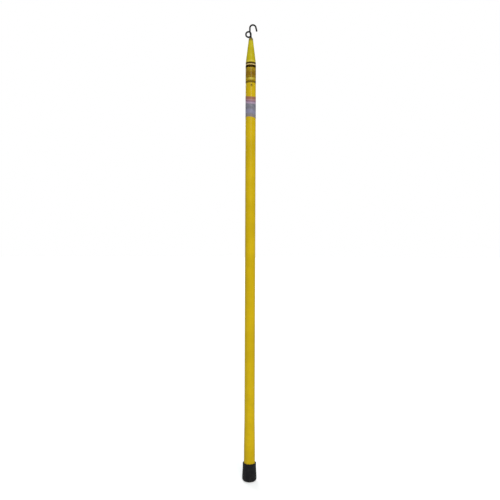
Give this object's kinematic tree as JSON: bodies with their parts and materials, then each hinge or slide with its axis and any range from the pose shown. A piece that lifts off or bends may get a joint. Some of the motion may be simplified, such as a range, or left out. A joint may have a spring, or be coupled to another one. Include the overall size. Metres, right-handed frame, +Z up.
{
  "type": "lineman hot stick",
  "caption": "Telescopic insulated pole of nested yellow tubes with spring button locks, a rubber boot, a cone cap and a pigtail wire hook at the tip.",
  "frame": {"origin": "centre of the boot's underside, where the closed stick stands", "axes": "+Z up the pole to the hook; the front is -Y, with the lock holes turned 9 degrees from it towards +X; the hook opens towards +X"},
  "size_m": [0.0534, 0.0534, 1.6916],
  "materials": {
    "tube_yellow": "satin",
    "cone_yellow": "satin",
    "ivory_nylon": "satin",
    "natural_nylon": "satin",
    "glass_fibre_rod": "matte",
    "black_acetal": "satin",
    "black_rubber": "matte",
    "spring_steel": "polished",
    "brass": "satin",
    "dark_steel": "satin",
    "black_steel": "satin"
  },
  "bodies": {
    "base": {"base_tube": "tube_yellow", "base_plug": "natural_nylon", "base_plug_pin": "glass_fibre_rod", "mouth_bushing_1": "ivory_nylon", "boot": "black_rubber"},
    "section_2": {"tube_2": "tube_yellow", "plug_2": "natural_nylon", "plug_pin_2": "glass_fibre_rod", "button_spring_2": "spring_steel", "mouth_bushing_2": "ivory_nylon"},
    "section_3": {"tube_3": "tube_yellow", "plug_3": "natural_nylon", "plug_pin_3": "glass_fibre_rod", "button_spring_3": "spring_steel", "mouth_bushing_3": "ivory_nylon"},
    "section_4": {"tube_4": "tube_yellow", "plug_4": "natural_nylon", "plug_pin_4": "glass_fibre_rod", "button_spring_4": "spring_steel", "mouth_bushing_4": "ivory_nylon"},
    "section_5": {"tube_5": "tube_yellow", "plug_5": "natural_nylon", "plug_pin_5": "glass_fibre_rod", "button_spring_5": "spring_steel", "mouth_bushing_5": "ivory_nylon"},
    "section_6": {"tube_6": "tube_yellow", "plug_6": "natural_nylon", "plug_pin_6": "glass_fibre_rod", "button_spring_6": "spring_steel", "mouth_bushing_6": "ivory_nylon"},
    "tip_section": {"tip_tube": "tube_yellow", "plug_7": "natural_nylon", "plug_pin_7": "glass_fibre_rod", "button_spring_7": "spring_steel", "tip_insert": "brass", "cone_seal": "black_rubber", "cone": "cone_yellow", "lock_nut": "dark_steel", "hook": "black_steel"},
    "button_2": {"lock_button_2": "black_acetal"},
    "button_3": {"lock_button_3": "black_acetal"},
    "button_4": {"lock_button_4": "black_acetal"},
    "button_5": {"lock_button_5": "black_acetal"},
    "button_6": {"lock_button_6": "black_acetal"},
    "button_7": {"lock_button_7": "black_acetal"}
  },
  "joints": [
    {"name": "section_2_slide", "type": "slide", "parent": "base", "child": "section_2", "axis": [0, 0, 1], "range_m": [0, 1.4]},
    {"name": "section_3_slide", "type": "slide", "parent": "section_2", "child": "section_3", "axis": [0, 0, 1], "range_m": [0, 1.37307]},
    {"name": "section_4_slide", "type": "slide", "parent": "section_3", "child": "section_4", "axis": [0, 0, 1], "range_m": [0, 1.35925]},
    {"name": "section_5_slide", "type": "slide", "parent": "section_4", "child": "section_5", "axis": [0, 0, 1], "range_m": [0, 1.34542]},
    {"name": "section_6_slide", "type": "slide", "parent": "section_5", "child": "section_6", "axis": [0, 0, 1], "range_m": [0, 1.3316]},
    {"name": "tip_section_slide", "type": "slide", "parent": "section_6", "child": "tip_section", "axis": [0, 0, 1], "range_m": [0, 1.31777]},
    {"name": "button_2_press", "type": "slide", "parent": "section_2", "child": "button_2", "axis": [-0.1564, 0.9877, 0], "range_m": [0, 0.0012], "stiffness_N_per_m": 300, "deforming": ["button_spring_2"]},
    {"name": "button_3_press", "type": "slide", "parent": "section_3", "child": "button_3", "axis": [-0.1564, 0.9877, 0], "range_m": [0, 0.0012], "stiffness_N_per_m": 300, "deforming": ["button_spring_3"]},
    {"name": "button_4_press", "type": "slide", "parent": "section_4", "child": "button_4", "axis": [-0.1564, 0.9877, 0], "range_m": [0, 0.0012], "stiffness_N_per_m": 300, "deforming": ["button_spring_4"]},
    {"name": "button_5_press", "type": "slide", "parent": "section_5", "child": "button_5", "axis": [-0.1564, 0.9877, 0], "range_m": [0, 0.0012], "stiffness_N_per_m": 300, "deforming": ["button_spring_5"]},
    {"name": "button_6_press", "type": "slide", "parent": "section_6", "child": "button_6", "axis": [-0.1564, 0.9877, 0], "range_m": [0, 0.0012], "stiffness_N_per_m": 300, "deforming": ["button_spring_6"]},
    {"name": "button_7_press", "type": "slide", "parent": "tip_section", "child": "button_7", "axis": [-0.1564, 0.9877, 0], "range_m": [0, 0.0012], "stiffness_N_per_m": 300, "deforming": ["button_spring_7"]}
  ]
}
